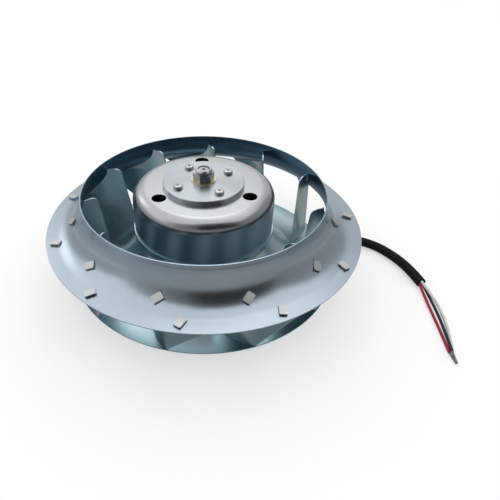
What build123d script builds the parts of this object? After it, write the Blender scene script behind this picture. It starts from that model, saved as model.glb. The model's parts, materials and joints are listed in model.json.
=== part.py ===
from build123d import *
from math import acos, atan2, copysign, cos, pi, radians, sin, sqrt, tan
import os

# Backward-curved centrifugal fan on an external-rotor motor, lying on its motor flange.
# Millimetres, +Z up along the axis, origin on the axis at the flange's mounting face.

os.makedirs("parts", exist_ok=True)

# Impeller
sheet = 0.8
blade_count = 11
blade_step = 360 / blade_count
shroud_radius = 112.5
shroud_edge_z = 45.0
shroud_cone_angle = 6.0
trumpet_radius = 21.9
inlet_radius = 85.6
neck_height = 3.7
plate_radius = 97.75
plate_top_z = 11.1
bell_foot_radius = 71.5
bell_middle = (58.3, 24.6)
collar_low_z = 38.0
collar_height = 4.6

# Blades: one arc in plan, leaning forward as it rises
blade_arc_radius = 45.0
blade_arc_centre = 65.3
first_blade_angle = 224.1
arc_centre_angle = 22.3
blade_sweep = 112.0
blade_lean = 3.2
lead_top_radius = 75.5
tip_radius = 83.9
tip_z = 65.0
tip_corner = 4.5
tip_hollow = (85.5, 59.6)
release_radius = 88.5
tail_radius = 110.0
plate_edge_gap = 0.3
shroud_tab_radii = (92.3, 103.2)
plate_tab_radii = (79.0, 91.0)
tab_width = 5.0
tab_length = 7.0
tab_corner = 0.9
tab_lift = 0.7
tab_necks = (3.0, 1.7, 1.2, 1.2)
slot_gap = 0.25
slot_reach = 4.0

# Rotor cup and hub
cup_radius = 50.1
cup_wall = 2.0
cup_top_z = 74.0
cup_foot_z = 18.0
cup_corner = 9.0
cup_hole_radius = 5.0
cup_hole_circle = 35.3
cup_hole_angle = 92.0
hub_radius = 28.5
hub_thickness = 3.2
hub_edge_bevel = 0.4
hub_boss_radius = 11.0
hub_screw_circle = 20.3
hub_screw_angle = 31.0
screw_head_radius = 3.3
screw_head_height = 2.2
screw_head_bevel = 0.6
screw_length = 6.2
screw_radius = 2.0
shaft_radius = 4.0
shaft_end_recess = 0.6
shaft_end_bevel = 0.6
nut_across_flats = 13.0
nut_height = 5.4
nut_collar_radius = 6.0
nut_collar_height = 2.4
nut_collar_bevel = 0.8
washer_radius = 8.4
washer_thickness = 1.3
nut_angle = 10.0
hub_boss_depth = 5.0
shaft_low_z = 8.5
centre_hole_radius = 1.1
centre_hole_depth = 4.0
circlip_z = 10.2
circlip_thickness = 1.0
circlip_groove_radius = 3.8
circlip_radius = 5.2
circlip_gap = 3.0

# Motor inside the cup
air_gap = 0.4
slot_width = 6.0
winding_gap = 0.5
slot_mouth = 2.0
slot_floor_radius = 20.0
slot_top_radius = 36.0
end_turn_bevel = 2.0
end_ring_height = 4.0
end_ring_inset = 0.5
cage_height = 1.0
cage_wall = 1.0
core_low_z = 30.0
core_high_z = 56.0
rotor_core_width = 8.6
stator_bore = 14.0
slot_count = 12
end_turn_height = 6.5
insulator_thickness = 1.0
bearing_outer = 11.0
bearing_bore = 4.0
bearing_width = 7.0
ring_wall = 1.9
upper_bearing_z = 60.0
lower_bearing_z = 11.5
ball_count = 7
running_clearance = 0.05
spring_height = 1.2
spring_gap = 0.3
cap_low_z = 4.0
cap_recess = 3.6
tube_bore_radius = 9.5

# Flange and cable
flange_step_radius = 40.0
flange_step_height = 4.0
bolt_angle = 45.0
channel_inner_radius = 24.0
channel_depth = 7.6
relief_inner_radius = 32.0
relief_block_radius = 48.0
relief_root_half = 4.85
cable_floor_gap = 0.1
bare_wire_radius = 0.7
bare_wire_length = 9.0
flange_radius = 46.0
flange_thickness = 8.0
flange_edge_round = 2.5
bolt_circle = 76.0
bolt_hole_radius = 1.65
cable_angle = 14.0
cable_radius = 3.65
cable_z = 3.75
channel_width = 11.0
gland_end_radius = 62.0
first_bend_radius = 83.5
wire_radius = 1.0
bend_share = 0.45

# Places worked out from the sizes above
hub_top_z = cup_top_z + hub_thickness
shaft_top_z = hub_top_z + washer_thickness + nut_height + nut_collar_height - shaft_end_recess
trumpet_centre_r = inlet_radius + trumpet_radius
cone_slope = tan(radians(shroud_cone_angle))
trumpet_foot_r = trumpet_centre_r - trumpet_radius * sin(radians(shroud_cone_angle))
trumpet_foot_z = shroud_edge_z + (shroud_radius - trumpet_foot_r) * cone_slope
trumpet_centre_z = trumpet_foot_z + trumpet_radius * cos(radians(shroud_cone_angle))
under_radius = trumpet_radius + sheet
plate_low_z = plate_top_z - sheet
collar_radius = cup_radius + sheet
rotor_core_radius = cup_radius - cup_wall
stator_radius = rotor_core_radius - rotor_core_width - air_gap
ball_circle = (bearing_outer + bearing_bore) / 2
ball_radius = (bearing_outer - bearing_bore) / 2 - ring_wall - running_clearance
core_height = core_high_z - core_low_z


def shroud_height(radius):
    """Height of the shroud's upper surface at a radius."""
    if radius >= trumpet_foot_r:
        return shroud_edge_z + (shroud_radius - radius) * cone_slope
    return trumpet_centre_z - sqrt(trumpet_radius**2 - (trumpet_centre_r - radius) ** 2)


def under_height(radius):
    """Height of the trumpet's under face, which the blades' top edges follow."""
    return trumpet_centre_z - sqrt(under_radius**2 - (trumpet_centre_r - radius) ** 2)


def arc_centre(height):
    """Centre of the blade's plan arc at a height, moved sideways by the lean."""
    angle = radians(first_blade_angle + arc_centre_angle)
    lean_angle = radians(first_blade_angle + 90)
    shift = blade_lean * (height - plate_top_z) / (shroud_edge_z - plate_top_z)
    x = blade_arc_centre * cos(angle) + shift * cos(lean_angle)
    y = blade_arc_centre * sin(angle) + shift * sin(lean_angle)
    return Vector(x, y, height)


def blade_point(radius, height):
    """Where the blade's sheet crosses a radius at a height."""
    centre = arc_centre(height)
    distance = sqrt(centre.X**2 + centre.Y**2)
    reach = (radius**2 + distance**2 - blade_arc_radius**2) / (2 * radius * distance)
    angle = atan2(centre.Y, centre.X) - acos(reach)
    return Vector(radius * cos(angle), radius * sin(angle), height)


def tab_plane(root, slope, normal_sign):
    """Plane of a folded tab: origin at its slot, X along the blade, Y outwards over the sheet."""
    outward = root - arc_centre(root.Z)
    outward = Vector(outward.X, outward.Y, 0).normalized()
    middle = root + outward * (tab_length / 2)
    radial = Vector(middle.X, middle.Y, 0).normalized()
    radius = Vector(middle.X, middle.Y, 0).length
    if normal_sign > 0:
        middle = Vector(middle.X, middle.Y, shroud_height(radius))
    normal = (Vector(0, 0, 1) + radial * slope).normalized() * normal_sign
    middle = middle + normal * (tab_lift if slope else 0)
    offset = root - middle
    level = middle.Z - (offset.X * normal.X + offset.Y * normal.Y) / normal.Z
    run = (outward - normal * outward.dot(normal)).normalized()
    return Plane(origin=(root.X, root.Y, level), x_dir=run.cross(normal), z_dir=normal)


def save(builder, name):
    """Label a finished sub-part and write its own STEP file."""
    builder.part.label = name
    export_step(builder.part, f"parts/{name}.step")


# Two tabs through the shroud lie on its outer face, two through the plate on its under face
tab_planes = []
for tab_radius in shroud_tab_radii:
    tab_root = blade_point(tab_radius, shroud_height(tab_radius))
    inner_end = tab_radius
    outer_end = tab_radius + tab_length
    slope = (shroud_height(inner_end) - shroud_height(outer_end)) / tab_length
    tab_planes.append(tab_plane(tab_root, slope, 1))
for tab_radius in plate_tab_radii:
    tab_planes.append(tab_plane(blade_point(tab_radius, plate_low_z), 0, -1))

# One blade: a leaning arc of sheet, trimmed to the meridional outline of the impeller
lean_direction = arc_centre(shroud_edge_z) - arc_centre(plate_top_z)
lean_length = lean_direction.length * (tip_z - plate_top_z + 2) / (shroud_edge_z - plate_top_z)
with BuildPart() as blade:
    with BuildSketch(Plane.XY.offset(plate_top_z)) as band:
        with BuildLine():
            low_centre = (arc_centre(plate_top_z).X, arc_centre(plate_top_z).Y)
            start_angle = first_blade_angle + arc_centre_angle - blade_sweep
            outer_arc = CenterArc(low_centre, blade_arc_radius + sheet / 2, start_angle, blade_sweep)
            inner_arc = CenterArc(low_centre, blade_arc_radius - sheet / 2, start_angle, blade_sweep)
            Line(outer_arc @ 0, inner_arc @ 0)
            Line(outer_arc @ 1, inner_arc @ 1)
        make_face()
    extrude(amount=lean_length, dir=lean_direction.normalized())
    with BuildSketch(Plane.XZ) as meridian:
        with BuildLine():
            foot_r = trumpet_centre_r - under_radius * sin(radians(shroud_cone_angle))
            foot_z = under_height(foot_r)
            middle_r = (release_radius + foot_r) / 2
            release = (release_radius, under_height(release_radius))
            ThreePointArc((tip_radius, tip_z), tip_hollow, release)
            ThreePointArc(release, (middle_r, under_height(middle_r)), (foot_r, foot_z))
            Polyline(
                (foot_r, foot_z),
                (tail_radius, foot_z - (tail_radius - foot_r) * cone_slope),
                (plate_radius - plate_edge_gap, plate_top_z),
                (bell_foot_radius, plate_top_z),
                (lead_top_radius, tip_z),
                (tip_radius, tip_z),
            )
        make_face()
        fillet(meridian.vertices().sort_by_distance((lead_top_radius, tip_z))[0], tip_corner)
    revolve(axis=Axis.Z, mode=Mode.INTERSECT)
    for plane, neck in zip(tab_planes, tab_necks):
        with BuildSketch(plane):
            with Locations((0, (tab_length - sheet) / 2)):
                RectangleRounded(tab_width, tab_length, tab_corner)
        extrude(amount=sheet)
        with BuildSketch(plane):
            Rectangle(tab_width, sheet)
        extrude(amount=neck, dir=(0, 0, -copysign(1, plane.z_dir.Z)))

# What the tabs pass through: one blade's four slots, used on the shroud and on the plate
with BuildPart() as slots:
    for plane in tab_planes:
        with BuildSketch(plane):
            Rectangle(tab_width + 2 * slot_gap, sheet + 2 * slot_gap)
        extrude(amount=slot_reach, dir=(0, 0, 1), both=True)

with BuildPart() as inlet_shroud:
    with BuildSketch(Plane.XZ):
        with BuildLine():
            cone = Line((shroud_radius, shroud_edge_z), (trumpet_foot_r, trumpet_foot_z))
            bend = JernArc(cone @ 1, cone % 1, trumpet_radius, shroud_cone_angle - 90)
            neck = Line(bend @ 1, bend @ 1 + (0, neck_height))
            offset(amount=sheet, side=Side.LEFT)
        make_face()
    revolve(axis=Axis.Z)
    for index in range(blade_count):
        add(slots.part, rotation=(0, 0, index * blade_step), mode=Mode.SUBTRACT)

with BuildPart() as back_plate:
    with BuildSketch(Plane.XZ):
        with BuildLine():
            flat = Line((plate_radius, plate_top_z), (bell_foot_radius, plate_top_z))
            bell = ThreePointArc(flat @ 1, bell_middle, (collar_radius, collar_low_z))
            collar = Line(bell @ 1, bell @ 1 + (0, collar_height))
            offset(amount=sheet, side=Side.LEFT)
        make_face()
    revolve(axis=Axis.Z)
    for index in range(blade_count):
        add(slots.part, rotation=(0, 0, index * blade_step), mode=Mode.SUBTRACT)

save(inlet_shroud, "inlet_shroud")
save(back_plate, "back_plate")
for index in range(blade_count):
    with BuildPart() as turned_blade:
        add(blade.part, rotation=(0, 0, index * blade_step))
    save(turned_blade, f"blade_{index + 1:02d}")

# Rotor cup: drawn steel, open below, with three holes in its end for cooling air
with BuildPart() as rotor_cup:
    with BuildSketch(Plane.XY.offset(cup_foot_z)):
        Circle(cup_radius)
    extrude(amount=cup_top_z - cup_foot_z)
    fillet(rotor_cup.edges().group_by(Axis.Z)[-1], cup_corner)
    cup_floor = rotor_cup.faces().sort_by(Axis.Z)[0]
    offset(amount=-cup_wall, openings=cup_floor)
    with Locations((0, 0, cup_top_z)):
        Hole(hub_boss_radius)
        with PolarLocations(cup_hole_circle, 3, start_angle=cup_hole_angle):
            Hole(cup_hole_radius, depth=2 * cup_wall)
        with PolarLocations(hub_screw_circle, 4, start_angle=hub_screw_angle):
            Hole(screw_radius, depth=2 * cup_wall)
save(rotor_cup, "rotor_cup")

# Hub: turned aluminium disc with a boss through the cup's end, pressed on the shaft
with BuildPart() as hub_disc:
    with BuildSketch(Plane.XY.offset(cup_top_z)):
        Circle(hub_radius)
    extrude(amount=hub_thickness)
    chamfer(hub_disc.edges().group_by(Axis.Z)[-1], hub_edge_bevel)
    with BuildSketch(Plane.XY.offset(cup_top_z)):
        Circle(hub_boss_radius)
    extrude(amount=-hub_boss_depth)
    with Locations((0, 0, hub_top_z)):
        Hole(shaft_radius)
        with PolarLocations(hub_screw_circle, 4, start_angle=hub_screw_angle):
            Hole(screw_radius + slot_gap, depth=hub_thickness)
save(hub_disc, "hub_disc")

with BuildPart() as hub_screws:
    with BuildSketch(Plane.XY.offset(hub_top_z - screw_length)):
        with PolarLocations(hub_screw_circle, 4, start_angle=hub_screw_angle):
            Circle(screw_radius)
    extrude(amount=screw_length)
    with BuildSketch(Plane.XY.offset(hub_top_z)):
        with PolarLocations(hub_screw_circle, 4, start_angle=hub_screw_angle):
            Circle(screw_head_radius)
    extrude(amount=screw_head_height)
    chamfer(hub_screws.edges().group_by(Axis.Z)[-1], screw_head_bevel)
save(hub_screws, "hub_screws")

with BuildPart() as lock_washer:
    with BuildSketch(Plane.XY.offset(hub_top_z)):
        Circle(washer_radius)
        Circle(shaft_radius, mode=Mode.SUBTRACT)
    extrude(amount=washer_thickness)
save(lock_washer, "lock_washer")

# Prevailing-torque nut: a hexagon with a round collar over it
nut_low_z = hub_top_z + washer_thickness
with BuildPart() as lock_nut:
    with BuildSketch(Plane.XY.offset(nut_low_z)):
        RegularPolygon(nut_across_flats / 2, 6, major_radius=False, rotation=nut_angle)
    extrude(amount=nut_height)
    with BuildSketch(Plane.XY.offset(nut_low_z + nut_height)):
        Circle(nut_collar_radius)
    extrude(amount=nut_collar_height)
    chamfer(lock_nut.edges().group_by(Axis.Z)[-1], nut_collar_bevel)
    with Locations((0, 0, nut_low_z + nut_height + nut_collar_height)):
        Hole(shaft_radius)
save(lock_nut, "lock_nut")

# Shaft: bearing journals in the bores, threaded end up through the hub
with BuildPart() as motor_shaft:
    with BuildSketch(Plane.XY.offset(shaft_low_z)):
        Circle(shaft_radius)
    extrude(amount=shaft_top_z - shaft_low_z)
    chamfer(motor_shaft.edges().group_by(Axis.Z)[-1], shaft_end_bevel)
    with Locations((0, 0, shaft_top_z)):
        Hole(centre_hole_radius, depth=centre_hole_depth)
    with BuildSketch(Plane.XY.offset(circlip_z)):
        Circle(shaft_radius)
        Circle(circlip_groove_radius, mode=Mode.SUBTRACT)
    extrude(amount=circlip_thickness, mode=Mode.SUBTRACT)
save(motor_shaft, "motor_shaft")

with BuildPart() as shaft_circlip:
    with BuildSketch(Plane.XY.offset(circlip_z)):
        Circle(circlip_radius)
        Circle(circlip_groove_radius, mode=Mode.SUBTRACT)
        with Locations((circlip_radius, 0)):
            Rectangle(circlip_radius, circlip_gap, mode=Mode.SUBTRACT)
    extrude(amount=circlip_thickness)
save(shaft_circlip, "shaft_circlip")

# Rotor iron: stacked rings pressed into the cup, with a cast end ring at each side
with BuildPart() as rotor_laminations:
    with BuildSketch(Plane.XY.offset(core_low_z)):
        Circle(rotor_core_radius)
        Circle(rotor_core_radius - rotor_core_width, mode=Mode.SUBTRACT)
    extrude(amount=core_height)
save(rotor_laminations, "rotor_laminations")

with BuildPart() as rotor_end_rings:
    for ring_z in (core_low_z - end_ring_height, core_high_z):
        with BuildSketch(Plane.XY.offset(ring_z)):
            Circle(rotor_core_radius - end_ring_inset)
            Circle(rotor_core_radius - rotor_core_width + end_ring_inset, mode=Mode.SUBTRACT)
        extrude(amount=end_ring_height)
save(rotor_end_rings, "rotor_end_rings")


def slot_windows(width, inner_radius, outer_radius):
    """The stator's winding slots, as rectangles round the axis."""
    with PolarLocations((inner_radius + outer_radius) / 2, slot_count):
        Rectangle(outer_radius - inner_radius, width, mode=Mode.SUBTRACT)


# Stator: slotted core on the bearing tube, end insulators, windings through the slots
with BuildPart() as stator_core:
    with BuildSketch(Plane.XY.offset(core_low_z)):
        Circle(stator_radius)
        Circle(stator_bore, mode=Mode.SUBTRACT)
        slot_windows(slot_width, slot_floor_radius, slot_top_radius)
        slot_windows(slot_mouth, slot_top_radius - 1, stator_radius + 1)
    extrude(amount=core_height)
save(stator_core, "stator_core")

for name, low_z in (("lower_insulator", core_low_z - insulator_thickness), ("upper_insulator", core_high_z)):
    with BuildPart() as insulator:
        with BuildSketch(Plane.XY.offset(low_z)):
            Circle(slot_top_radius + 1)
            Circle(stator_bore, mode=Mode.SUBTRACT)
            slot_windows(slot_width, slot_floor_radius, slot_top_radius)
        extrude(amount=insulator_thickness)
    save(insulator, name)

with BuildPart() as stator_windings:
    with BuildSketch(Plane.XY.offset(core_low_z - insulator_thickness)):
        with PolarLocations((slot_floor_radius + slot_top_radius) / 2, slot_count):
            Rectangle(slot_top_radius - slot_floor_radius - 2 * winding_gap, slot_width - 2 * winding_gap)
    extrude(amount=core_height + 2 * insulator_thickness)
    for low_z in (core_low_z - insulator_thickness - end_turn_height, core_high_z + insulator_thickness):
        with BuildSketch(Plane.XY.offset(low_z)):
            Circle(slot_top_radius - winding_gap)
            Circle(slot_floor_radius + winding_gap, mode=Mode.SUBTRACT)
        extrude(amount=end_turn_height)
    chamfer(stator_windings.edges().group_by(Axis.Z)[-1], end_turn_bevel)
    chamfer(stator_windings.edges().group_by(Axis.Z)[0], end_turn_bevel)
save(stator_windings, "stator_windings")

# Two ball bearings: outer rings stay with the flange, inner rings turn with the shaft
for name, low_z in (("lower", lower_bearing_z), ("upper", upper_bearing_z)):
    with BuildPart() as outer_ring:
        with BuildSketch(Plane.XY.offset(low_z)):
            Circle(bearing_outer)
            Circle(bearing_outer - ring_wall, mode=Mode.SUBTRACT)
        extrude(amount=bearing_width)
    save(outer_ring, f"{name}_bearing_outer_ring")
    with BuildPart() as inner_ring:
        with BuildSketch(Plane.XY.offset(low_z)):
            Circle(bearing_bore + ring_wall)
            Circle(bearing_bore, mode=Mode.SUBTRACT)
        extrude(amount=bearing_width)
    save(inner_ring, f"{name}_bearing_inner_ring")
    with BuildPart() as ball_set:
        with Locations((0, 0, low_z + bearing_width / 2)):
            with PolarLocations(ball_circle, ball_count):
                Sphere(ball_radius)
        with BuildSketch(Plane.XY.offset(low_z + bearing_width / 2 - cage_height / 2)):
            Circle(ball_circle + cage_wall / 2)
            Circle(ball_circle - cage_wall / 2, mode=Mode.SUBTRACT)
        extrude(amount=cage_height)
    save(ball_set, f"{name}_ball_set")

# Flange: die-cast foot with the bearing tube standing on it and a channel for the cable
with BuildPart() as motor_flange:
    with BuildSketch():
        Circle(flange_radius)
    extrude(amount=flange_thickness)
    fillet(motor_flange.edges().group_by(Axis.Z)[-1], flange_edge_round)
    with BuildSketch(Plane.XY.offset(flange_thickness)):
        Circle(flange_step_radius)
    extrude(amount=flange_step_height)
    with BuildSketch(Plane.XY.offset(flange_thickness)):
        Circle(stator_bore)
    extrude(amount=upper_bearing_z + bearing_width - flange_thickness)
    with Locations((0, 0, upper_bearing_z + bearing_width)):
        Hole(tube_bore_radius)
    with BuildSketch(Plane.XY.offset(upper_bearing_z)):
        Circle(bearing_outer)
    extrude(amount=bearing_width, mode=Mode.SUBTRACT)
    with BuildSketch():
        Circle(bearing_outer)
    extrude(amount=lower_bearing_z + bearing_width, mode=Mode.SUBTRACT)
    with Locations((0, 0, flange_thickness)):
        with PolarLocations(bolt_circle / 2, 4, start_angle=bolt_angle):
            Hole(bolt_hole_radius)
    with BuildSketch(Plane.XY.rotated((0, 0, cable_angle))):
        with Locations(((channel_inner_radius + relief_block_radius) / 2, 0)):
            Rectangle(relief_block_radius - channel_inner_radius, channel_width)
    extrude(amount=channel_depth, mode=Mode.SUBTRACT)
save(motor_flange, "motor_flange")

# Wave spring under the lower bearing, held by a cap pressed into the flange from below
with BuildPart() as wave_spring:
    with BuildSketch(Plane.XY.offset(lower_bearing_z - spring_height)):
        Circle(bearing_outer - spring_gap)
        Circle(bearing_outer - ring_wall, mode=Mode.SUBTRACT)
    extrude(amount=spring_height)
save(wave_spring, "wave_spring")

with BuildPart() as bearing_cap:
    with BuildSketch(Plane.XY.offset(cap_low_z)):
        Circle(bearing_outer)
    extrude(amount=lower_bearing_z - spring_height - cap_low_z)
    with BuildSketch(Plane.XY.offset(lower_bearing_z - spring_height)):
        Circle(bearing_outer - ring_wall)
    extrude(amount=-cap_recess, mode=Mode.SUBTRACT)
save(bearing_cap, "bearing_cap")

# Cable: a strain relief in the flange's channel, then sheath and wires lying on the floor
with BuildPart() as strain_relief:
    with BuildSketch(Plane.XY.offset(cable_floor_gap).rotated((0, 0, cable_angle))):
        with Locations(((relief_inner_radius + relief_block_radius) / 2, 0)):
            Rectangle(relief_block_radius - relief_inner_radius, channel_width)
    extrude(amount=channel_depth - cable_floor_gap)
    relief_axis = Vector(cos(radians(cable_angle)), sin(radians(cable_angle)), 0)
    for radius, half in ((relief_block_radius, relief_root_half), (gland_end_radius, cable_radius)):
        centre = relief_axis * radius + Vector(0, 0, cable_z)
        with BuildSketch(Plane(origin=centre, x_dir=(0, 0, 1), z_dir=relief_axis)):
            Ellipse(cable_radius, half)
    loft()
save(strain_relief, "strain_relief")


def route_radii(points):
    """Bend radius at each inner point, so that each arc takes a fixed share of its shorter run."""
    radii = []
    for before, here, after in zip(points, points[1:], points[2:]):
        run_in = here - before
        run_out = after - here
        half_turn = radians(run_in.get_angle(run_out)) / 2
        radii.append(bend_share * min(run_in.length, run_out.length) / tan(half_turn))
    return radii


def cable(points, radius):
    """A round cable along straight runs joined by tangent arcs, checked against its length."""
    radii = route_radii(points)
    with BuildLine() as path:
        route = FilletPolyline(*points, radius=radii)
    with BuildPart() as tube:
        with BuildSketch(Plane(origin=route @ 0, z_dir=route % 0)):
            Circle(radius)
        sweep(path=path.wires()[0])
    length = route.length
    ratio = tube.part.volume / (pi * radius**2 * length)
    print("cable", round(length, 1), "radii", [round(value, 1) for value in radii], round(ratio, 4))
    return tube


gland_end = relief_axis * gland_end_radius
first_bend = relief_axis * first_bend_radius
sheath_route = [
    Vector(gland_end.X, gland_end.Y, cable_z),
    Vector(first_bend.X, first_bend.Y, cable_z),
    Vector(103, 28, cable_z),
    Vector(124, 30.5, cable_z),
    Vector(141.5, 22, cable_z),
    Vector(154, 5, cable_z),
    Vector(160.5, -12, cable_z),
    Vector(162.9, -24.9, cable_z),
]
save(cable(sheath_route, cable_radius), "cable_sheath")
wire_routes = {
    "wire_red": [
        Vector(161.8, -25.1, 3.1),
        Vector(161.4, -40, 1.4),
        Vector(160.7, -56, 1.05),
        Vector(159.6, -72, 1.05),
        Vector(157.6, -89, 1.05),
    ],
    "wire_black": [
        Vector(164.0, -24.7, 3.1),
        Vector(164.9, -41, 1.4),
        Vector(164.6, -57, 1.05),
        Vector(162.8, -73, 1.05),
        Vector(159.9, -89, 1.05),
    ],
    "wire_white": [
        Vector(162.9, -24.9, 5.1),
        Vector(166.2, -40, 3.7),
        Vector(167.6, -56, 1.3),
        Vector(165.8, -73, 1.05),
        Vector(162.1, -89, 1.05),
    ],
}
with BuildPart() as wire_tips:
    for name, route in wire_routes.items():
        save(cable(route, wire_radius), name)
        heading = (route[-1] - route[-2]).normalized()
        with BuildSketch(Plane(origin=route[-1], z_dir=heading), mode=Mode.PRIVATE) as tip_section:
            Circle(bare_wire_radius)
        extrude(tip_section.sketch, amount=bare_wire_length, dir=heading)
save(wire_tips, "wire_tips")
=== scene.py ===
# %% [markdown]
# This script dresses a motor cooling fan for a render, around its imported CAD model.
# The fan is a wheel of zinc-plated sheet on an external-rotor motor: an inlet shroud, a back plate and
# eleven blades hooked through both, with the motor's drawn steel cup in the middle of the inlet.
# The rigid pieces have their true shape in the CAD, so here they only get a finish. What the CAD keeps
# plain is made new: the cable, its wires with their bare tips, and the hub screws.
# The first cell loads the fixed frame.

# %% Load the frame
import json
import math
import bpy
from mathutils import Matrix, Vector


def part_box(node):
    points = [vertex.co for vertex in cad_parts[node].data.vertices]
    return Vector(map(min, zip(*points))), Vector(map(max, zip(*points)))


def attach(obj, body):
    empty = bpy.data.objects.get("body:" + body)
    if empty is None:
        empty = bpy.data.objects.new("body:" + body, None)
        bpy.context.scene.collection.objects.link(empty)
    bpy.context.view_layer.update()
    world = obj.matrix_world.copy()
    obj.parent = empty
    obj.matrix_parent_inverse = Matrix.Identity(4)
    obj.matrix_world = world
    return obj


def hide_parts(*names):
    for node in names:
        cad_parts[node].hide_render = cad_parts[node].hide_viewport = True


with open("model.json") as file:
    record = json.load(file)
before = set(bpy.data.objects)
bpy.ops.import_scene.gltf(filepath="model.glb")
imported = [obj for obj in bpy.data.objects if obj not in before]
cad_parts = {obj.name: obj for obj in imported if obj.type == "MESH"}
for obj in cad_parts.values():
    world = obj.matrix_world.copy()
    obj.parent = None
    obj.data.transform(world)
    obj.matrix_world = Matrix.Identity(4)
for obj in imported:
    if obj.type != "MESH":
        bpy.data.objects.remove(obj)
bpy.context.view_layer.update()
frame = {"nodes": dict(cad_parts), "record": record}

nodes = frame["nodes"]


# %% [markdown]
# The photograph was taken from in front and above, with the fan left of the picture's middle.
# A camera could be moved by eye until the picture looks right. This one was fitted to the circles of
# the wheel's rims, because the ellipses that they make give its tilt, distance and lens at once.
# A lens shift, not a turn, moves the fan sideways in the frame, as cropping a photograph does.

# %% Camera
shroud_edge_z = 0.045
camera_back = 0.28505
camera_over_edge = 0.19303
camera_tilt = 52.03
camera_data = bpy.data.cameras.new("view")
camera_data.lens = 33.55
camera_data.sensor_width = 36.0
camera_data.shift_x = 0.0927
camera = bpy.data.objects.new("view", camera_data)
camera.location = (0.0, -camera_back, camera_over_edge + shroud_edge_z)
camera.rotation_euler = (math.radians(camera_tilt), 0.0, 0.0)
bpy.context.scene.collection.objects.link(camera)
bpy.context.scene.camera = camera
bpy.context.scene.view_settings.view_transform = "Standard"
print("camera stands", round(camera.location.length, 3), "m from the origin")


# %% [markdown]
# A black cable comes out under the wheel and lies on the floor in one loose bend. Its route could be
# drawn by many points along straight runs and arcs, but that looks like bent wire. A few points that a
# smooth curve passes near bend as a real cable does. They are the route of the CAD's own tube, in
# metres. The cords come before all else, because their lengths are checked.

# %% Cable route
sheath_radius = 0.00365
sheath_route = [
    (0.06016, 0.01500, 0.00375),
    (0.08102, 0.02020, 0.00375),
    (0.10300, 0.02800, 0.00375),
    (0.12400, 0.03050, 0.00375),
    (0.14150, 0.02200, 0.00375),
    (0.15400, 0.00500, 0.00375),
    (0.16050, -0.01200, 0.00375),
    (0.16290, -0.02490, 0.00375),
]
print("sheath on", len(sheath_route), "control points,", round(2000 * sheath_radius, 1), "mm thick")


# %% [markdown]
# The sheath is a round tube of one thickness. A circle could be swept along the curve as a second
# object, but a curve has a bevel of its own that does this, so the cord stays one object that can
# still be measured. The spline is a NURBS of order 3, set after its points are added.

# %% Cable sheath
cord_round_steps = 6
cord_steps_along = 16


def new_curve(name, round_steps):
    """An empty curve whose points say for themselves how thick it is.

    The thickness is each point's own radius under a bevel of 1, because Blender adds a point's radius
    to the curve's box, and the default of 1 m would make the fan look two metres wide.
    """
    curve = bpy.data.curves.new(name, "CURVE")
    curve.dimensions = "3D"
    curve.bevel_depth = 1.0
    curve.bevel_resolution = round_steps
    curve.use_fill_caps = True
    return curve


def nurbs_cord(name, points, radius):
    """A round cord on one NURBS spline with the given control points."""
    curve = new_curve(name, cord_round_steps)
    curve.resolution_u = cord_steps_along
    spline = curve.splines.new("NURBS")
    spline.points.add(len(points) - 1)
    for point, place in zip(spline.points, points):
        point.co = (*place, 1.0)
        point.radius = radius
    spline.order_u = 3
    spline.use_endpoint_u = True
    cord = bpy.data.objects.new(name, curve)
    bpy.context.scene.collection.objects.link(cord)
    return cord


sheath = nurbs_cord("cable_sheath_soft", sheath_route, sheath_radius)
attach(sheath, "motor")
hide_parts("cable_sheath")
print("made", sheath.name)


# %% [markdown]
# A cord's length is what a maker would cut from the reel. The control points are no help, because the
# spline cuts inside their corners. So the curve is turned into a plain line with no bevel, and the
# line's short steps are added up.

# %% Measure a cord
def middle_line(cord):
    """The points along a cord's middle, read from its spline with no bevel."""
    bare = cord.data.copy()
    bare.bevel_depth = 0.0
    probe = bpy.data.objects.new("probe", bare)
    mesh = bpy.data.meshes.new_from_object(probe)
    points = [vertex.co.copy() for vertex in mesh.vertices]
    bpy.data.objects.remove(probe)
    bpy.data.meshes.remove(mesh)
    return points


def cord_length(cord):
    """The length along a cord's middle, in metres."""
    points = middle_line(cord)
    return sum((after - before).length for before, after in zip(points, points[1:]))


print("sheath", round(cord_length(sheath), 4), "m")


# %% [markdown]
# Three thin wires leave the sheath's cut end: one red, one so dark a blue that it looks black, and one
# white. They fan out along the floor and come together again at their ends. They could be one bundle,
# but each has its own bow and crosses the floor by itself, so each is a cord of its own.

# %% Wires
wire_radius = 0.001
wire_routes = {
    "wire_red": [
        (0.1618, -0.0251, 0.0031),
        (0.1614, -0.0400, 0.0014),
        (0.1607, -0.0560, 0.00105),
        (0.1598, -0.0720, 0.00105),
        (0.1584, -0.0890, 0.00105),
    ],
    "wire_black": [
        (0.1640, -0.0247, 0.0031),
        (0.1649, -0.0410, 0.0014),
        (0.1644, -0.0570, 0.00105),
        (0.1624, -0.0730, 0.0014),
        (0.1595, -0.0890, 0.0028),
    ],
    "wire_white": [
        (0.1629, -0.0249, 0.0051),
        (0.1662, -0.0400, 0.0037),
        (0.1676, -0.0560, 0.0013),
        (0.1652, -0.0730, 0.00105),
        (0.1606, -0.0888, 0.00105),
    ],
}
wires = {}
for name, route in wire_routes.items():
    wire = nurbs_cord(name + "_soft", route, wire_radius)
    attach(wire, "motor")
    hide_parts(name)
    wires[name] = wire
    print(name, round(cord_length(wire), 4), "m")


# %% [markdown]
# Each wire ends in a bare tip: tinned strands twisted round a middle one. A plain thin rod would catch
# the light as one line. Real strands break it into short slanting glints, so each strand is a helix of
# its own, and the strands open a little towards the end.

# %% One twisted tip
strand_radius = 0.00026
strand_circle = 0.00044
strand_count = 6
strand_round_steps = 2
tip_length = 0.009
tip_steps = 24
twist_turns = 1.6
fray = 0.25
fray_beat = 5


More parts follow.
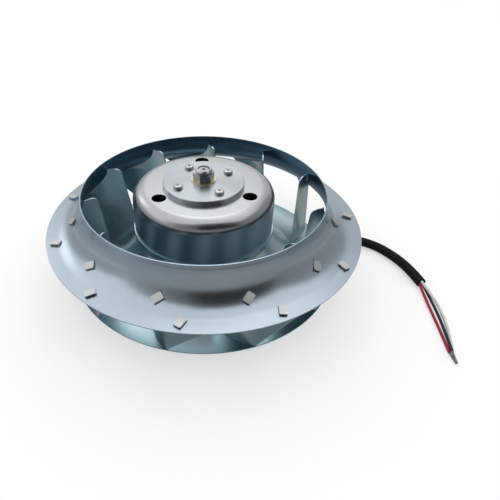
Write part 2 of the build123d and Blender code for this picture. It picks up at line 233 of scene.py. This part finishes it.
def strand_point(index, share):
    """A point of one strand, on a tip that stands upright at the origin. The last strand is straight."""
    angle = 2 * math.pi * (index / strand_count + twist_turns * share)
    frayed = 1.0 + fray * share * share * math.sin(fray_beat * index)
    reach = strand_circle * frayed if index < strand_count else 0.0
    return Vector((reach * math.cos(angle), reach * math.sin(angle), share * tip_length))


def strand_bundle(name, start, heading):
    """A twisted bundle of bare strands from a wire's end along its heading."""
    curve = new_curve(name, strand_round_steps)
    turn = heading.to_track_quat("Z", "Y").to_matrix()
    for index in range(strand_count + 1):
        spline = curve.splines.new("POLY")
        spline.points.add(tip_steps)
        for step, point in enumerate(spline.points):
            point.co = (*(start + turn @ strand_point(index, step / tip_steps)), 1.0)
            point.radius = strand_radius
    bundle = bpy.data.objects.new(name, curve)
    bpy.context.scene.collection.objects.link(bundle)
    return bundle


print("a tip has", strand_count + 1, "strands of", round(2000 * strand_radius, 2), "mm")


# %% [markdown]
# The three bare tips lie together, as if twisted by hand. They could end side by side, but in the
# photograph they meet, so each tip starts where its wire ends and heads for the same point.

# %% Three bare tips
meeting_point = Vector((0.1592, -0.0995, 0.0013))
tips = {}
for name, wire in wires.items():
    wire_end = middle_line(wire)[-1]
    heading = (meeting_point - wire_end).normalized()
    tips[name] = strand_bundle(name + "_tip", wire_end, heading)
    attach(tips[name], "motor")
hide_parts("wire_tips")
print("bare tips", len(tips), "each", round(1000 * tip_length, 1), "mm long")


# %% [markdown]
# The lengths of the cords could be typed in, but they are measured on the curves, so that they stay
# true if a point is moved. All cords end bare, as they do in the photograph.

cord_length(sheath)
for name, wire in wires.items():
    cord_length(wire)
print("cords declared", 1 + len(wires))


# %% [markdown]
# Bright metal shows the room more than its own colour, so the room matters as much as the lamps.
# The photograph's ground is pure white. A picture of a studio could light the fan, but this script
# uses no pictures, and a plain white world gives the same even light from all sides.

# %% World
white = (1.0, 1.0, 1.0, 1.0)
world = bpy.data.worlds.new("studio")
world.use_nodes = True
white_room = world.node_tree.nodes["Background"]
white_room.inputs["Color"].default_value = white
white_room.inputs["Strength"].default_value = 1.0
bpy.context.scene.world = world
print("world strength", white_room.inputs["Strength"].default_value)


# %% [markdown]
# The floor should look white without lighting the fan from below. Its glow could be a lamp, but that
# would fall on the metal too. The Light Path node tells which rays only look at the floor: those from
# the camera, from a mirror and through glass. Math nodes join them into one yes or no.

# %% Rays that only look
def new_material(name):
    """A new material with a node tree, in which a Principled shader waits."""
    material = bpy.data.materials.new(name)
    material.use_nodes = True
    return material


def math_node(tree, operation, first, second):
    """A Math node on two sockets or numbers."""
    node = tree.nodes.new("ShaderNodeMath")
    node.operation = operation
    for socket, value in zip(node.inputs, (first, second)):
        if isinstance(value, float):
            socket.default_value = value
        else:
            tree.links.new(value, socket)
    return node.outputs[0]


def background_seen(tree):
    """1 for rays from the camera, from metal and through glass, 0 for the light that falls on things."""
    path = tree.nodes.new("ShaderNodeLightPath")
    seen = path.outputs["Is Camera Ray"]
    for ray in ("Is Glossy Ray", "Is Transmission Ray"):
        seen = math_node(tree, "MAXIMUM", seen, path.outputs[ray])
    return seen


floor_material = new_material("pale_floor")
floor_seen = background_seen(floor_material.node_tree)
print("floor nodes", len(floor_material.node_tree.nodes))


# %% [markdown]
# The floor also has to take the fan's soft shadow. A pure white glow would show none, and a plain
# white surface comes out grey near the fan. So half of what the camera and the metal see is the
# glow, and the other half is a pale matt surface with the shadow on it.

# %% Floor
floor_width = 12.0
floor_white = (0.97, 0.97, 0.97, 1.0)
floor_roughness = 0.9
glow_share = 0.5

bpy.ops.object.select_all(action="DESELECT")
bpy.ops.mesh.primitive_plane_add(size=floor_width, location=(0.0, 0.0, 0.0))
floor = bpy.context.object
floor.name = "studio_floor"
floor_tree = floor_material.node_tree
matt = floor_tree.nodes["Principled BSDF"]
matt.inputs["Base Color"].default_value = floor_white
matt.inputs["Roughness"].default_value = floor_roughness
glow = floor_tree.nodes.new("ShaderNodeEmission")
glow.inputs["Color"].default_value = white
floor_mix = floor_tree.nodes.new("ShaderNodeMixShader")
seen_share = math_node(floor_tree, "MULTIPLY", floor_seen, glow_share)
floor_tree.links.new(seen_share, floor_mix.inputs[0])
floor_tree.links.new(matt.outputs[0], floor_mix.inputs[1])
floor_tree.links.new(glow.outputs[0], floor_mix.inputs[2])
floor_tree.links.new(floor_mix.outputs[0], floor_tree.nodes["Material Output"].inputs["Surface"])
floor.data.materials.append(floor_material)
print("floor", floor_width, "m wide")


# %% [markdown]
# In a room that is white all round, plated sheet looks flat and chalky. The real sheet shows slate
# grey and dark bands along its curves, where it mirrors the darker parts of a room. That room could be
# modelled, but plain cards give the same bands. A grey that changes along a card makes them soft.
# Only reflections show a card, so it can stand close to the fan and yet cast no shadow.

# %% One studio card
def map_range(tree, source, from_range, to_range):
    """Map a value from one range to another, and hold it at the ends."""
    node = tree.nodes.new("ShaderNodeMapRange")
    node.inputs["From Min"].default_value = from_range[0]
    node.inputs["From Max"].default_value = from_range[1]
    node.inputs["To Min"].default_value = to_range[0]
    node.inputs["To Max"].default_value = to_range[1]
    tree.links.new(source, node.inputs["Value"])
    return node.outputs["Result"]


def card(name, size, location, turn, greys):
    """A flat card that glows from one grey to another along its own X, seen in reflections alone."""
    bpy.ops.object.select_all(action="DESELECT")
    bpy.ops.mesh.primitive_plane_add(size=1.0, location=location, rotation=turn)
    sheet = bpy.context.object
    sheet.name = name
    sheet.scale = (*size, 1.0)
    bpy.ops.object.transform_apply(location=False, rotation=False, scale=True)
    material = new_material(name)
    tree = material.node_tree
    place = tree.nodes.new("ShaderNodeTexCoord")
    parts = tree.nodes.new("ShaderNodeSeparateXYZ")
    tree.links.new(place.outputs["Object"], parts.inputs["Vector"])
    grey = map_range(tree, parts.outputs["X"], (-size[0] / 2, size[0] / 2), greys)
    shine = tree.nodes.new("ShaderNodeEmission")
    tree.links.new(grey, shine.inputs["Strength"])
    tree.links.new(shine.outputs[0], tree.nodes["Material Output"].inputs["Surface"])
    sheet.data.materials.append(material)
    sheet.visible_camera = False
    sheet.visible_diffuse = False
    sheet.visible_shadow = False
    print(name, "greys", greys)


facing_front = (math.radians(90), 0.0, 0.0)
card("card_front_low", (1.8, 0.22), (0.0, -0.48, 0.11), facing_front, greys=(0.45, 0.30))


# %% [markdown]
# The first card stands low in front and gives the trumpet its grey foot. The others surround the fan:
# a dark one in front makes the black smear on the shroud, paler ones behind and beside it keep the
# far side from going white, and one on the floor greys the undersides. Each was placed by following
# the mirror's angle from a band in the photograph, and then by trial.

# %% Eight more cards
facing_side = (math.radians(90), 0.0, math.radians(90))
lying = (0.0, 0.0, 0.0)
card("card_front_left", (0.8, 0.8), (-0.52, -0.48, 0.62), facing_front, greys=(0.60, 0.16))
card("card_front_dark", (0.8, 1.35), (0.29, -0.47, 0.895), facing_front, greys=(0.01, 0.04))
card("card_front_right", (0.5, 1.0), (0.83, -0.48, 0.72), facing_front, greys=(0.20, 0.40))
card("card_right", (1.8, 0.9), (0.95, 0.15, 0.46), facing_side, greys=(0.25, 0.40))
card("card_left", (1.8, 0.5), (-1.05, 0.15, 0.26), facing_side, greys=(0.45, 0.45))
card("card_back", (2.0, 0.5), (-0.4, 1.05, 0.26), facing_front, greys=(0.55, 0.50))
card("card_back_right", (1.4, 1.4), (0.85, 1.0, 0.75), facing_front, greys=(0.80, 0.40))
card("card_floor", (1.6, 1.4), (0.0, -0.05, 0.002), lying, greys=(0.50, 0.28))


# %% [markdown]
# The photograph has a bright spot at the foot of the trumpet on the left and soft light on the cup and
# hub. Three square lamps give them: a window behind the fan on the left, one straight behind it, and
# a softbox above. One strong lamp would be simpler, but it burns the pale metal to plain white. The
# world already gives the full plain light, so each lamp adds less than a watt.

# %% Lamps
lamps_look_at = Vector((0.0, 0.0, 0.05))


def area_lamp(name, location, size, power):
    """A soft square lamp that points at the fan."""
    data = bpy.data.lights.new(name, "AREA")
    data.size = size
    data.energy = power
    lamp = bpy.data.objects.new(name, data)
    lamp.location = location
    lamp.rotation_euler = (lamps_look_at - Vector(location)).to_track_quat("-Z", "Y").to_euler()
    bpy.context.scene.collection.objects.link(lamp)
    print(name, power, "W")


area_lamp("window_left", (-0.73, 0.61, 0.60), size=0.3, power=0.28)
area_lamp("window_back", (0.0, 0.85, 0.9), size=0.5, power=0.60)
area_lamp("softbox_top", (0.15, 0.55, 1.0), size=0.7, power=0.50)


# %% [markdown]
# No surface of the real fan is one flat colour. Plating is a little cloudy, and handling leaves the
# gloss uneven. An image could carry that, but noise on Object coordinates has no seams and stays on
# the piece when it turns. The noise runs from 0 to 1, and a Map Range node turns it into a roughness.

# %% Noise
whole_range = (0.0, 1.0)


def noise(tree, scale, detail):
    """Noise on Object coordinates, from 0 to 1."""
    place = tree.nodes.new("ShaderNodeTexCoord")
    texture = tree.nodes.new("ShaderNodeTexNoise")
    texture.inputs["Scale"].default_value = scale
    texture.inputs["Detail"].default_value = detail
    tree.links.new(place.outputs["Object"], texture.inputs["Vector"])
    return texture.outputs["Fac"]


print("noise and masks run from", *whole_range)


# %% [markdown]
# All finishes of this fan share one pattern. Broad clouds tint the colour, and a finer noise varies
# the gloss. On rougher pieces that same noise lifts the surface as a bump. Each finish could be built
# by hand in its own node tree, but one function keeps them alike and shows where they differ.

# %% Clouded finish
cloud_low = 0.35
cloud_high = 0.65
grain_depth = 0.0001


def clouded(name, dark, light, roughness, clouds, grains, bump):
    """A material with a cloudy colour and an uneven gloss.

    roughness is the lowest and the highest. clouds and grains are each the scale and detail of a noise.
    """
    material = new_material(name)
    tree = material.node_tree
    shader = tree.nodes["Principled BSDF"]
    tint = tree.nodes.new("ShaderNodeValToRGB")
    for stop, position, color in zip(tint.color_ramp.elements, (cloud_low, cloud_high), (dark, light)):
        stop.position = position
        stop.color = (*color, 1.0)
    tree.links.new(noise(tree, *clouds), tint.inputs["Fac"])
    tree.links.new(tint.outputs["Color"], shader.inputs["Base Color"])
    grain = noise(tree, *grains)
    tree.links.new(map_range(tree, grain, whole_range, roughness), shader.inputs["Roughness"])
    if bump > 0.0:
        lift = tree.nodes.new("ShaderNodeBump")
        lift.inputs["Strength"].default_value = bump
        lift.inputs["Distance"].default_value = grain_depth
        tree.links.new(grain, lift.inputs["Height"])
        tree.links.new(lift.outputs["Normal"], shader.inputs["Normal"])
    return material


print("clouds from", cloud_low, "to", cloud_high, "of the noise, grain", 1000 * grain_depth, "mm deep")


# %% [markdown]
# The small steel parts are the bright screws, the yellow lock washer, and the dark nut and shaft.
# They could be grey plastic with a strong gloss, but metal has no colour under its reflections: the
# base colour tints the mirror image itself. So Metallic is 1 on every plated, cast and ground piece.

# %% Small steel parts
metal_cloud_detail = 3.0
metal_grain_detail = 4.0


def metal(name, dark, light, roughness, cloud_scale, grain_scale, bump=0.0):
    """Bare or plated metal. The scales are of its clouds and its grain."""
    clouds = (cloud_scale, metal_cloud_detail)
    grains = (grain_scale, metal_grain_detail)
    material = clouded(name, dark, light, roughness, clouds, grains, bump)
    material.node_tree.nodes["Principled BSDF"].inputs["Metallic"].default_value = 1.0
    return material


finishes = {
    "screw_steel": metal(
        "bright_screws", (0.50, 0.51, 0.53), (0.62, 0.63, 0.65), (0.2, 0.35), 60, 900, bump=0.05),
    "washer_zinc": metal(
        "yellow_zinc", (0.62, 0.56, 0.36), (0.76, 0.70, 0.50), (0.25, 0.4), 80, 900, bump=0.05),
    "shaft_steel": metal(
        "dark_steel", (0.40, 0.40, 0.43), (0.54, 0.54, 0.57), (0.16, 0.24), 90, 400, bump=0.02),
}
print("small steel finishes", list(finishes))


# %% [markdown]
# Some pieces get painted light and shade in one place. The neck's inner face gets a navy painted shade
# where the outer face is pale blue. The blades' tails and the cup's side get a darker painted shade, and
# the blades' folded tabs get a painted light that makes them greyer than the blades. An image painted for
# each piece could say where. A mask that is 1 in that place and 0 elsewhere needs no image, when it is
# worked out from each point's height and its distance from the fan's axis, and it turns with the wheel.

# %% Radius and height
def height(tree):
    """The height over the fan's base, in metres."""
    place = tree.nodes.new("ShaderNodeTexCoord")
    parts = tree.nodes.new("ShaderNodeSeparateXYZ")
    tree.links.new(place.outputs["Object"], parts.inputs["Vector"])
    return parts.outputs["Z"]


def radius(tree):
    """The distance from the fan's axis, in metres."""
    place = tree.nodes.new("ShaderNodeTexCoord")
    flat = tree.nodes.new("ShaderNodeVectorMath")
    flat.operation = "MULTIPLY"
    flat.inputs[1].default_value = (1.0, 1.0, 0.0)
    tree.links.new(place.outputs["Object"], flat.inputs[0])
    length = tree.nodes.new("ShaderNodeVectorMath")
    length.operation = "LENGTH"
    tree.links.new(flat.outputs["Vector"], length.inputs[0])
    return length.outputs["Value"]


shroud_low, shroud_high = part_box("inlet_shroud")
print("shroud radius", round(shroud_high[0], 4))
print("shroud height", round(shroud_low[2], 4), "to", round(shroud_high[2], 4))


# %% [markdown]
# The mask then mixes two colours and two gloss values inside one material: the finish's own, and those of
# the painted light and shade. Two materials on two sets of faces would do as well, but a CAD node's faces
# don't end where a painted patch does, and a mix can fade.

# %% Painted light and shade
# The Mix node's colour sockets share their names with its number sockets, so they go by their place
color_a = 6
color_b = 7
color_result = 2
number_a = 2
number_b = 3


def paint_light_and_shade(material, mask_of, color, roughness):
    """Lay painted light and shade on part of a finish: its own colour and roughness, where the mask is 1.
    """
    tree = material.node_tree
    shader = tree.nodes["Principled BSDF"]
    mask = mask_of(tree)
    mix_color = tree.nodes.new("ShaderNodeMix")
    mix_color.data_type = "RGBA"
    tree.links.new(mask, mix_color.inputs[0])
    tree.links.new(shader.inputs["Base Color"].links[0].from_socket, mix_color.inputs[color_a])
    mix_color.inputs[color_b].default_value = (*color, 1.0)
    tree.links.new(mix_color.outputs[color_result], shader.inputs["Base Color"])
    mix_gloss = tree.nodes.new("ShaderNodeMix")
    tree.links.new(mask, mix_gloss.inputs[0])
    tree.links.new(shader.inputs["Roughness"].links[0].from_socket, mix_gloss.inputs[number_a])
    mix_gloss.inputs[number_b].default_value = roughness
    tree.links.new(mix_gloss.outputs[0], shader.inputs["Roughness"])
    return material


print("second tones mix at sockets", color_a, color_b, number_a, number_b)


# %% [markdown]
# The shroud is zinc-plated sheet with a satin sheen, pale blue. The inner face of its neck looks into
# the dark inside of the wheel, so a navy painted shade lies on it. Both faces belong to one thin sheet,
# so height alone can't tell them apart. Its section is a quarter circle about a point outside the neck,
# and the inner face is further from that point. The mask of the painted shade compares each point's
# distance from there with that of the sheet's middle.

# %% Shroud
trumpet_radius = 0.1075
trumpet_height = 0.0675
sheet_middle = 0.02235
trumpet_foot = 0.1045


def inner_face_shade_mask(tree):
    """1 where the navy painted shade lies: on the shroud's inner face, from the neck's edge down to the
    trumpet's foot.
    """
    across = math_node(tree, "SUBTRACT", trumpet_radius, radius(tree))
    below = math_node(tree, "MINIMUM", math_node(tree, "SUBTRACT", height(tree), trumpet_height), 0.0)
    across_square = math_node(tree, "MULTIPLY", across, across)
    below_square = math_node(tree, "MULTIPLY", below, below)
    distance = math_node(tree, "SQRT", math_node(tree, "ADD", across_square, below_square), 0.0)
    beyond = math_node(tree, "GREATER_THAN", distance, sheet_middle)
    return math_node(tree, "MULTIPLY", beyond, math_node(tree, "LESS_THAN", radius(tree), trumpet_foot))


satin_zinc = metal("zinc_plate_satin", (0.44, 0.52, 0.59), (0.50, 0.58, 0.65), (0.24, 0.28), 14, 300)
# The navy here is painted shade on the neck's inner face.
finishes["zinc_sheet"] = paint_light_and_shade(satin_zinc, inner_face_shade_mask, (0.15, 0.23, 0.31), 0.26)
print("shroud", finishes["zinc_sheet"].name, "with a navy inner face")


# %% [markdown]
# The blades and back plate are a glossier sheet with a green cast. The blades' tails lie in the shade
# under the shroud, so a darker painted shade lies on them. The folded tabs stand in the full light,
# so a grey painted light lies on them. One colour would be right for neither, so each of the two gets a
# mask: the painted shade fades in with the radius, and the painted light is on what lies over the
# shroud or under the plate.

# %% Blades and back plate
tails_from = 0.086
tails_full = 0.098
tabs_outside = 0.0918
tabs_over = 0.0452
tabs_under = 0.0102


def tail_shade_mask(tree):
    """Where the darker painted shade lies: 0 on the blades inside the inlet, fading to 1 on their tails
    under the shroud.
    """
    return map_range(tree, radius(tree), (tails_from, tails_full), whole_range)


def tab_light_mask(tree):
    """1 on the folded tabs, which lie outside the shroud and under the plate and get a grey painted light,
    and 0 on the blades.
    """
    outside = math_node(tree, "GREATER_THAN", radius(tree), tabs_outside)
    over = math_node(tree, "GREATER_THAN", height(tree), tabs_over)
    under = math_node(tree, "LESS_THAN", height(tree), tabs_under)
    return math_node(tree, "MAXIMUM", math_node(tree, "MULTIPLY", outside, over), under)


gloss_zinc = metal("zinc_plate_gloss", (0.50, 0.65, 0.69), (0.56, 0.71, 0.75), (0.28, 0.31), 12, 200)
# The dark teal here is painted shade on the blades' tails.
with_tail_shade = paint_light_and_shade(gloss_zinc, tail_shade_mask, (0.22, 0.34, 0.38), 0.32)
# The grey here is painted light on the folded tabs.
finishes["zinc_blade"] = paint_light_and_shade(with_tail_shade, tab_light_mask, (0.60, 0.62, 0.63), 0.36)
print("blades", finishes["zinc_blade"].name, "with darker tails and grey tabs")


# %% [markdown]
# The rotor cup is drawn from bright steel. Its end is silvery, and its straight side stands in the
# wheel's shade among the blades and looks teal. The side could be darkened by more cards, but those would
# show in the shroud too. So a teal painted shade lies on it, which fades in over 1.6 mm under the rounded
# edge, because a hard line there would look like a second part. The cup's own colour stays below 0.6:
# paler metal clips to white in the white room.

# %% Rotor cup
edge_ends = 0.0668
side_starts = 0.0652


def side_shade_mask(tree):
    """Where the teal painted shade lies: 1 on the rotor cup's straight side, fading to 0 on its rounded
    edge.
    """
    return map_range(tree, height(tree), (edge_ends, side_starts), whole_range)


cup = metal("drawn_cup", (0.47, 0.49, 0.50), (0.52, 0.54, 0.55), (0.24, 0.28), 14, 300)
# The teal here is painted shade on the cup's straight side.
finishes["cup_steel"] = paint_light_and_shade(cup, side_shade_mask, (0.24, 0.37, 0.45), 0.38)
print("cup", finishes["cup_steel"].name, "with a teal side")


# %% [markdown]
# The hub disc is turned on a lathe, and its fine rings stretch each highlight into a bright wedge from
# the centre to the rim. The rings could be cut as bumps, but they are finer than a pixel and would
# flicker. The shader's anisotropy does the same to the light. Its tangent runs round the fan's axis.

# %% Hub disc
turning_marks = 0.9
quarter_turn = 0.25


def turned(material):
    """Stretch a finish's highlights across the turning marks of a lathe, round the fan's axis."""
    tree = material.node_tree
    shader = tree.nodes["Principled BSDF"]
    shader.inputs["Anisotropic"].default_value = turning_marks
    shader.inputs["Anisotropic Rotation"].default_value = quarter_turn
    tangent = tree.nodes.new("ShaderNodeTangent")
    tangent.direction_type = "RADIAL"
    tangent.axis = "Z"
    tree.links.new(tangent.outputs["Tangent"], shader.inputs["Tangent"])
    return material


finishes["hub_aluminium"] = turned(
    metal("turned_aluminium", (0.46, 0.50, 0.53), (0.52, 0.56, 0.59), (0.24, 0.28), 30, 40))
print("hub", finishes["hub_aluminium"].name, "anisotropic", turning_marks)


# %% [markdown]
# The motor's inside shows only through the cup's holes and from below. One grey would do for a
# picture, but each piece gets the finish of its real stuff: ground bearing steel, dull stacked sheet,
# a grainy die casting and varnished copper wire. The tinned strands of the wire tips are made here
# too. All are metals as before, with more grain where the real surface is rough.

# %% Inside the motor, and tinned copper
finishes["bearing_steel"] = metal(
    "ground_steel", (0.66, 0.67, 0.69), (0.76, 0.77, 0.79), (0.1, 0.2), 60, 900, bump=0.02)
finishes["lamination_steel"] = metal(
    "laminations", (0.20, 0.20, 0.22), (0.32, 0.32, 0.34), (0.4, 0.6), 60, 900, bump=0.2)
finishes["cast_aluminium"] = metal(
    "die_casting", (0.58, 0.59, 0.60), (0.68, 0.69, 0.70), (0.35, 0.5), 40, 400, bump=0.3)
finishes["copper_winding"] = metal(
    "copper_wire", (0.48, 0.20, 0.08), (0.68, 0.32, 0.14), (0.25, 0.4), 60, 500, bump=0.3)
finishes["tinned_copper"] = metal(
    "tinned_strands", (0.22, 0.20, 0.18), (0.42, 0.40, 0.37), (0.3, 0.45), 300, 900, bump=0.2)
print("metal finishes", len(finishes))


# %% [markdown]
# The sheath is soft black rubber with hardly any shine, the wires have a smoother coloured jacket, and
# the insulators are moulded in cream plastic. These are not metal, so their colour is their own, and
# the white room lays a sheen over it. Rougher rubber would only spread that sheen. A low specular
# level weakens it, and so keeps the black sheath from turning grey.

# %% Rubber and plastic
plastic_shade = 0.85
plastic_cloud_detail = 2.0
plastic_grain_detail = 3.0
grains_in_cloud = 6
gloss_swing = 0.06


def plastic(name, color, roughness, grain_scale, bump, shine):
    """Moulded or extruded plastic and rubber: nearly one colour, with a fine surface."""
    darker = tuple(value * plastic_shade for value in color)
    gloss = (roughness - gloss_swing, roughness + gloss_swing)
    clouds = (grain_scale / grains_in_cloud, plastic_cloud_detail)
    grains = (grain_scale, plastic_grain_detail)
    material = clouded(name, darker, color, gloss, clouds, grains, bump)
    material.node_tree.nodes["Principled BSDF"].inputs["Specular IOR Level"].default_value = shine
    return material


finishes["insulator_plastic"] = plastic("cream_plastic", (0.80, 0.77, 0.66), 0.5, 600, bump=0.1, shine=0.5)
finishes["black_rubber"] = plastic("black_sheath", (0.008, 0.008, 0.009), 0.62, 900, bump=0.4, shine=0.15)
finishes["wire_red"] = plastic("red_wire", (0.34, 0.014, 0.04), 0.4, 900, bump=0.1, shine=0.3)
finishes["wire_black"] = plastic("navy_wire", (0.012, 0.015, 0.045), 0.4, 900, bump=0.1, shine=0.3)
finishes["wire_white"] = plastic("white_wire", (0.66, 0.64, 0.60), 0.4, 900, bump=0.1, shine=0.3)
print("all finishes", len(finishes))


# %% [markdown]
# Each CAD node's record names a material slot, and each slot has one finish. The nodes could be
# dressed one by one, but the record already says who wears what, so one loop dresses them all.
# The new cords and tips take the finish of their own slot.

# %% Dress the nodes and cords
slot_of = {row["node"]: row["material_slot"] for row in frame["record"]["subparts"]}
for name, part in nodes.items():
    part.data.materials.clear()
    part.data.materials.append(finishes[slot_of[name]])
sheath.data.materials.append(finishes["black_rubber"])
for name, wire in wires.items():
    wire.data.materials.append(finishes[name])
    tips[name].data.materials.append(finishes["tinned_copper"])
print("finishes", len(finishes), "on", len(nodes), "nodes")


# %% [markdown]
# Four pan-head screws hold the hub disc. Each real head is a low dome with a cross recess, whose walls
# are the darkest spots on the disc. The CAD heads are plain, so new screws replace them.
# A head could be turned from a profile with the spin operator. A cylinder takes fewer steps: its foot
# is inset and extruded down as the shank, and the edge of its top is bevelled round.

# %% Screw blank
hub_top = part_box("hub_disc")[1][2]
screw_low, screw_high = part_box("hub_screws")
head_radius = 0.0033
head_height = screw_high[2] - hub_top
head_sides = 40
shank_radius = 0.0019
shank_length = hub_top - screw_low[2]
rim_round = 0.0011
rim_steps = 5
rim_profile = 0.55
nearly_level = 0.9


def edit_faces(piece, chosen):
    """Go into edit mode with only those faces selected that the test picks."""
    bpy.ops.object.mode_set(mode="EDIT")
    bpy.ops.mesh.select_mode(type="FACE")
    bpy.ops.mesh.select_all(action="DESELECT")
    bpy.ops.object.mode_set(mode="OBJECT")
    for face in piece.data.polygons:
        face.select = chosen(face)
    bpy.ops.object.mode_set(mode="EDIT")


bpy.ops.object.select_all(action="DESELECT")
head_middle = hub_top + head_height / 2
bpy.ops.mesh.primitive_cylinder_add(
    vertices=head_sides, radius=head_radius, depth=head_height, location=(0.0, 0.0, head_middle))
blank = bpy.context.object
bpy.ops.object.transform_apply(location=True, rotation=False, scale=False)
edit_faces(blank, lambda face: face.normal.z < -nearly_level)
bpy.ops.mesh.inset(thickness=head_radius - shank_radius)
bpy.ops.mesh.extrude_region_move(TRANSFORM_OT_translate={"value": (0.0, 0.0, -shank_length)})
bpy.ops.object.mode_set(mode="OBJECT")
edit_faces(blank, lambda face: face.normal.z > nearly_level)
bpy.ops.mesh.bevel(offset=rim_round, segments=rim_steps, profile=rim_profile)
bpy.ops.object.mode_set(mode="OBJECT")
print("screw blank", len(blank.data.polygons), "faces, head", round(1000 * head_height, 2), "mm high")


# %% [markdown]
# The recess is a cross that narrows downwards, as a screwdriver's point does. Its faces could be inset
# and pushed in one by one. Two crossed blocks cut out by a Boolean modifier give sharp walls with less
# work. Each block's foot is scaled in before the cut, and each modifier is applied at once.

# %% Cross recess
recess_width = 0.0009
recess_length = 0.0036
recess_depth = 0.0013
recess_taper = 0.55
recess_turn = 20
sharp_angle = 40

for quarter in (0, 90):
    turn = math.radians(recess_turn + quarter)
    bpy.ops.object.select_all(action="DESELECT")
    bpy.ops.mesh.primitive_cube_add(size=1.0, location=(0.0, 0.0, screw_high[2]), rotation=(0.0, 0.0, turn))
    block = bpy.context.object
    block.scale = (recess_length, recess_width, 2 * recess_depth)
    bpy.ops.object.transform_apply(location=True, rotation=True, scale=True)
    edit_faces(block, lambda face: face.normal.z < -nearly_level)
    bpy.ops.transform.resize(value=(recess_taper, recess_taper, 1.0), center_override=(0.0, 0.0, hub_top))
    bpy.ops.object.mode_set(mode="OBJECT")
    cut = blank.modifiers.new("recess", "BOOLEAN")
    cut.object = block
    bpy.context.view_layer.objects.active = blank
    bpy.ops.object.modifier_apply(modifier="recess")
    bpy.data.objects.remove(block)
bpy.ops.object.select_all(action="DESELECT")
blank.select_set(True)
bpy.ops.object.shade_smooth_by_angle(angle=math.radians(sharp_angle))
print("screw with its recess", len(blank.data.polygons), "faces")


# %% [markdown]
# The four screws are one shape, so the finished blank is copied, each copy with its own mesh. No
# fitter stops all recesses at the same angle, so each copy is turned by a different amount. The place
# goes into the mesh, as on a CAD node, because the export puts every object at the origin.

# %% Four hub screws
screw_count = 4
screw_circle = 0.0203
first_screw_angle = 31
recess_turn_step = 37

for index in range(screw_count):
    screw = blank.copy()
    screw.data = blank.data.copy()
    screw.name = f"hub_screw_{index + 1}"
    bpy.context.scene.collection.objects.link(screw)
    angle = math.radians(first_screw_angle + index * 360 / screw_count)
    screw.location = (screw_circle * math.cos(angle), screw_circle * math.sin(angle), 0.0)
    screw.rotation_euler = (0.0, 0.0, math.radians(recess_turn_step * index))
    bpy.ops.object.select_all(action="DESELECT")
    screw.select_set(True)
    bpy.context.view_layer.objects.active = screw
    bpy.ops.object.transform_apply(location=True, rotation=True, scale=True)
    screw.data.materials.clear()
    screw.data.materials.append(finishes["screw_steel"])
    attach(screw, "rotor")
    if index == 0:
        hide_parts("hub_screws")
bpy.data.objects.remove(blank)
print("hub screws", screw_count, "on a circle of", 2000 * screw_circle, "mm")
